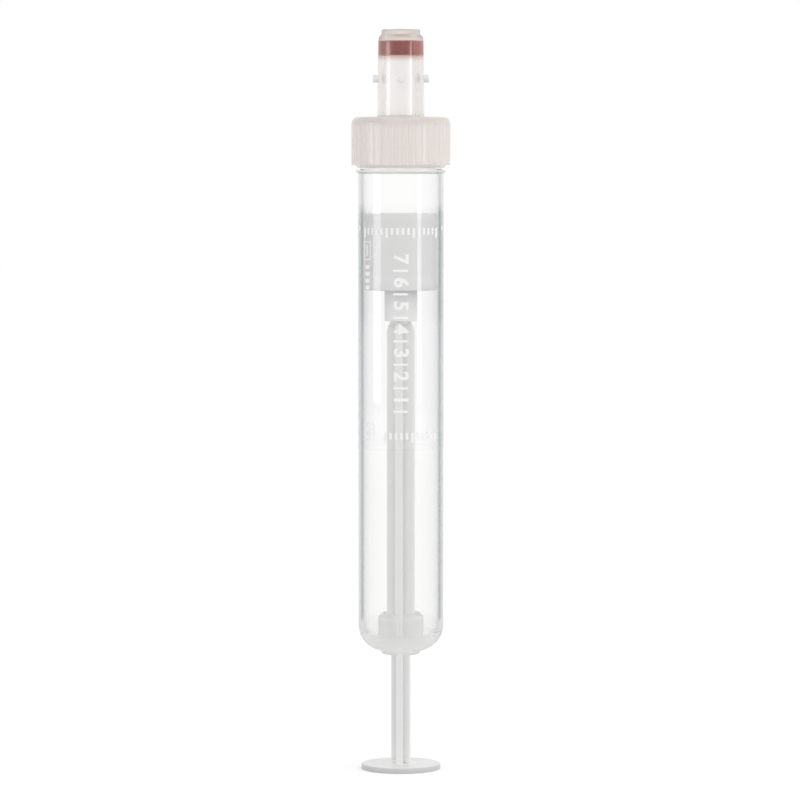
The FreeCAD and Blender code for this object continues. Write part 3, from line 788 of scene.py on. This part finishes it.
def label_film():
    """Clear film that shows only by its cut edges and a cool glint where it turns away."""
    base, cut_width, cut_more, glint_most, glint_power = 0.02, 0.12, 0.02, 0.16, 4.0
    low, high = foot("label"), top("label")
    material, tree, shader, spot = new_material("label_film")
    look = moulded(tree, (0.86, 0.92, 0.94), mottle=0.2, roughness=0.12, haze=0.05, grain=700)
    middle = sum_up(tree, "SUBTRACT", measured(tree, spot)["Level"], (low + high) / 2)
    from_end = sum_up(tree, "SUBTRACT", (high - low) / 2, sum_up(tree, "ABSOLUTE", middle))
    cut = sum_up(tree, "LESS_THAN", from_end, cut_width)
    glint = sum_up(tree, "MULTIPLY", sum_up(tree, "POWER", turned_away(tree), glint_power), glint_most)
    alpha = sum_up(tree, "ADD", sum_up(tree, "MULTIPLY_ADD", cut, cut_more, base), glint)
    fill(tree, shader, {"Base Color": look["Color"], "Roughness": look["Roughness"], "Alpha": alpha})
    return material


def print_white():
    """White ink with a slightly uneven lay."""
    material, tree, shader, _ = new_material("print_white")
    look = moulded(tree, (0.99, 0.99, 0.99), mottle=0.04, roughness=0.4, haze=0.1, grain=3000)
    fill(tree, shader, {"Base Color": look["Color"], "Roughness": look["Roughness"],
                        "Normal": bump(tree, look["Height"], 0.003)})
    return material


def opaque_plastic(name, along, begin, span, painted_tones, roughness):
    """Moulded plastic that light doesn't pass. Its tone, which carries painted light and shade, follows
    radius or level over a span.
    """
    material, tree, shader, spot = new_material(name)
    past = sum_up(tree, "SUBTRACT", measured(tree, spot)[along], begin)
    tone = ramp(tree, sum_up(tree, "DIVIDE", past, span), painted_tones)
    look = moulded(tree, tone, mottle=0.12, roughness=roughness, haze=0.12, grain=2600)
    fill(tree, shader, {"Base Color": look["Color"], "Roughness": look["Roughness"],
                        "Normal": bump(tree, look["Height"], 0.006)})
    return material


def piston_plastic():
    """White plastic of the piston, its neck painted paler than its skirt: painted light that lifts the
    shade under the skirt.
    """
    # Painted light: the neck's tone is raised against the shade that falls under the skirt.
    painted_tones = ((0.26, (0.89, 0.89, 0.885)), (0.28, (0.785, 0.785, 0.78)))
    return opaque_plastic("piston_plastic", "Level", foot("piston"), 20, painted_tones, roughness=0.4)


def rod_plastic():
    """White plastic of the rod, with painted shade: darker at the core where the ribs meet, a little
    darker on the disc and darkest on its rim.
    """
    # Painted shade by distance from the axis: the core between the ribs, the disc and most of all its
    # rim are darker.
    painted_tones = (
        (0.07, (0.76, 0.765, 0.755)),
        (0.16, (0.865, 0.87, 0.86)),
        (0.235, (0.88, 0.885, 0.875)),
        (0.3, (0.785, 0.79, 0.78)),
        (0.68, (0.78, 0.785, 0.775)),
        (0.692, (0.63, 0.635, 0.625)),
    )
    return opaque_plastic("rod_plastic", "Radius", 0, 10, painted_tones, roughness=0.35)


def cap_plastic():
    """Unpigmented plastic of the cap's skirt, which hides what it holds. The roof is painted darker:
    painted shade against the light that falls on it from above.
    """
    skirt_tone, roof_painted_shade = (0.915, 0.86, 0.83, 1), (0.77, 0.715, 0.685, 1)
    roof_start, roof_end, light_tint = SEAT + 0.91, SEAT + 2.11, (0.9, 0.89, 0.88)
    material, tree, shader, spot = new_material("cap_plastic")
    # Painted shade: the roof is darkened by level so that light from above doesn't make it bright.
    roof = fade(tree, measured(tree, spot)["Level"], roof_start, roof_end)
    tone = mix_colors(tree, roof, skirt_tone, roof_painted_shade)
    look = moulded(tree, tone, mottle=0.10, roughness=0.24, haze=0.1, grain=1800)
    fill(tree, shader, {"Base Color": look["Color"], "Roughness": look["Roughness"],
                        "Transmission Weight": 0.35, "IOR": PLASTIC_IOR,
                        "Normal": bump(tree, look["Height"], 0.004)})
    let_light_in(tree, shader, light_tint)
    return material


def nozzle_plastic():
    """Unpigmented plastic of the nozzle: clear below, with a painted red glow of the membrane's colour
    just under it, cloudy above it.
    """
    # The red here is painted light: the membrane's colour cast into the plastic.
    red, cream, inner_tone = (0.65, 0.37, 0.305, 1), (0.80, 0.75, 0.69, 1), (0.98, 0.98, 0.97, 1)
    inner_radius, inner_smear, smeared_roughness, light_tint = 3.2, 0.6, 0.5, (0.93, 0.92, 0.91)
    low, high = foot("membrane"), top("membrane")
    red_start, red_full, red_end = low - 0.99, low + 0.01, low + 0.06
    cloud_start, cloud_end = high - 0.19, high + 0.41
    material, tree, shader, spot = new_material("nozzle_plastic")
    look = moulded(tree, (0.88, 0.855, 0.84), mottle=0.05, roughness=0.08, haze=0.06, grain=1800)
    measures = measured(tree, spot)
    radius, level = measures["Radius"], measures["Level"]
    cloudy = fade(tree, level, cloud_start, cloud_end)
    inner = sum_up(tree, "LESS_THAN", radius, inner_radius)
    # Painted light: a red glow, the membrane's colour cast into the plastic, painted in just below the
    # membrane.
    near = fade(tree, level, red_start, red_full)
    painted_red_glow = sum_up(tree, "MULTIPLY", near, sum_up(tree, "LESS_THAN", level, red_end))
    tone = mix_colors(tree, painted_red_glow, look["Color"], red)
    tone = mix_colors(tree, cloudy, tone, cream)
    color = mix_colors(tree, inner, tone, inner_tone)
    smeared = sum_up(tree, "MAXIMUM", mix_values(tree, inner, cloudy, inner_smear), cloudy)
    rough = mix_values(tree, smeared, look["Roughness"], smeared_roughness)
    fill(tree, shader, {"Base Color": color, "Roughness": rough, "Transmission Weight": 1.0,
                        "IOR": PLASTIC_IOR, "Normal": bump(tree, look["Height"], 0.003)})
    let_light_in(tree, shader, light_tint)
    return material


def membrane_rubber():
    """Red-brown rubber with a fine pitted face, and a painted sheen that makes it paler where it turns
    away.
    """
    face_tone, painted_sheen_tone = (0.30, 0.06, 0.05, 1), (0.46, 0.155, 0.135, 1)
    edge_start, edge_end = 0.03, 0.16
    material, tree, shader, _ = new_material("membrane_rubber")
    # Painted sheen: the tone goes paler as the face turns away, in place of reflected lamplight.
    edge = fade(tree, turned_away(tree), edge_start, edge_end)
    tone = mix_colors(tree, edge, face_tone, painted_sheen_tone)
    look = moulded(tree, tone, mottle=0.25, roughness=0.25, haze=0.1, grain=3000)
    fill(tree, shader, {"Base Color": look["Color"], "Roughness": look["Roughness"],
                        "Normal": bump(tree, look["Height"], 0.01)})
    return material


# ---------------------------------------------------------------- the stage

WHITE = (1, 1, 1, 1)
SOFT_BELOW, SOFT_ABOVE = 0.95, 1.0   # strength of the soft light from either height
HEIGHT_BELOW, HEIGHT_ABOVE = -0.1, 0.9
SOFT_RIGHT, SOFT_BACK = 0.31, -0.10


def seen_directly(tree):
    """One for rays that show the background: straight, mirrored or through glass."""
    path = place(tree, "LightPath").outputs
    mirrored = sum_up(tree, "MAXIMUM", path["Is Glossy Ray"], path["Is Transmission Ray"])
    return sum_up(tree, "MAXIMUM", path["Is Camera Ray"], mirrored)


def make_world():
    """White behind everything, and soft light that is a little stronger from above, right and front."""
    world = bpy.data.worlds.new("studio")
    bpy.context.scene.world = world
    world.use_nodes = True
    tree = world.node_tree
    way = place(tree, "SeparateXYZ", {0: place(tree, "TexCoord").outputs["Generated"]}).outputs
    rise = fade(tree, way["Z"], HEIGHT_BELOW, HEIGHT_ABOVE, SOFT_BELOW, SOFT_ABOVE)
    sided = sum_up(tree, "MULTIPLY_ADD", way["X"], SOFT_RIGHT, rise)
    soft = sum_up(tree, "MULTIPLY_ADD", way["Y"], SOFT_BACK, sided)
    grey = place(tree, "CombineXYZ", {0: soft, 1: soft, 2: soft}).outputs[0]
    color = mix_colors(tree, seen_directly(tree), grey, WHITE)
    fill(tree, tree.nodes["Background"], {"Color": color, "Strength": 1.0})


def make_floor():
    """Plain pale floor that takes a soft shadow."""
    width, cuts, glow, grain = 6, 4, 0.42, 900
    grey, paler = (0.58, 0.58, 0.58, 1), (0.62, 0.62, 0.62, 1)
    floor = start("floor", bpy.ops.mesh.primitive_plane_add, size=width)
    bpy.ops.mesh.subdivide(number_cuts=cuts)
    close_up(floor)
    material, tree, shader, spot = new_material("floor_paper")
    pale = mix_colors(tree, noise(tree, spot, grain), grey, paler)
    lit = sum_up(tree, "MULTIPLY", seen_directly(tree), glow)
    fill(tree, shader, {"Base Color": pale, "Roughness": 1.0, "Specular IOR Level": 0.0,
                        "Emission Color": WHITE, "Emission Strength": lit})
    floor.data.materials.append(material)


def add_lamp(name, turn, width, height, level, radiance):
    """A soft lamp one metre away, turned from the camera's side by some degrees, left below zero."""
    target, watts = 0.09, 4   # watts for each unit of radiance and square metre
    lamp = bpy.data.lights.new(name, "AREA")
    lamp.shape = "RECTANGLE"
    lamp.size, lamp.size_y = width, height
    lamp.energy = radiance * watts * width * height
    holder = bpy.data.objects.new(name, lamp)
    bpy.context.scene.collection.objects.link(holder)
    holder.location = (sin(radians(turn)), -cos(radians(turn)), level)
    aim = Vector((0, 0, target)) - holder.location
    holder.rotation_euler = aim.to_track_quat("-Z", "Y").to_euler()
    holder.visible_camera = False
    holder.visible_transmission = False


def make_camera():
    """A long lens a little above the cap, looking slightly down."""
    focal, away, level, target = 191.8, 0.750, 0.110, (-0.00016, 0, 0.06535)
    lens = bpy.data.cameras.new("camera")
    lens.lens = focal
    camera = bpy.data.objects.new("camera", lens)
    bpy.context.scene.collection.objects.link(camera)
    camera.location = (0, -away, level)
    aim = Vector(target) - camera.location
    camera.rotation_euler = aim.to_track_quat("-Z", "Y").to_euler()
    bpy.context.scene.camera = camera


# ---------------------------------------------------------------- the tube

MOULDED_FINISH = make_moulded_finish()
TUBE_MEASURES = make_tube_measures()


def give(piece, which):
    """Gives each face one of the piece's materials, picked by its level and distance from the axis."""
    for face in piece.data.polygons:
        middle = face.center / MM
        face.material_index = which(middle.z, Vector(middle[:2]).length)


def barrel_material(level, radius):
    """The flange's plastic on the flange and the thread, the wall's elsewhere."""
    margin = 0.05
    wall = NECK_RADIUS if level > RIM - THREAD_DROP - THREAD_BASE else BARREL_RADIUS
    return 1 if radius > wall + margin else 0


def cap_material(level, radius):
    """The nozzle's plastic above the skirt, and the flange's on the studs that stand out of it."""
    fillet, margin = 0.3, 0.15
    if level < SEAT + CAP_TOP + fillet:
        return 0
    return 2 if radius > NOZZLE_RADIUS + margin else 1


flange = flange_plastic()
barrel = finish(make_barrel(), "barrel", "barrel", [clear_plastic(), flange])
give(barrel, barrel_material)
cap = finish(make_cap(), "screw_cap", "cap", [cap_plastic(), nozzle_plastic(), flange])
give(cap, cap_material)
finish(make_membrane(), "membrane", "cap_lift", [membrane_rubber()])
finish(make_piston(), "piston", "plunger", [piston_plastic()])
finish(make_rod(), "plunger_rod", "plunger", [rod_plastic()])
label = finish(make_label(), "label", "barrel", [label_film()])
marks = make_print()
smooth(marks)
marks.data.materials.append(print_white())
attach(marks, "barrel")

for clear in (barrel, label, marks):
    clear.visible_diffuse = clear.visible_shadow = False

make_world()
make_floor()
add_lamp("left_lamp", turn=-68, width=0.42, height=0.17, level=0.09, radiance=3.0)
add_lamp("right_lamp", turn=51, width=0.20, height=0.17, level=0.09, radiance=3.4)
make_camera()
bpy.context.scene.view_settings.view_transform = "Standard"
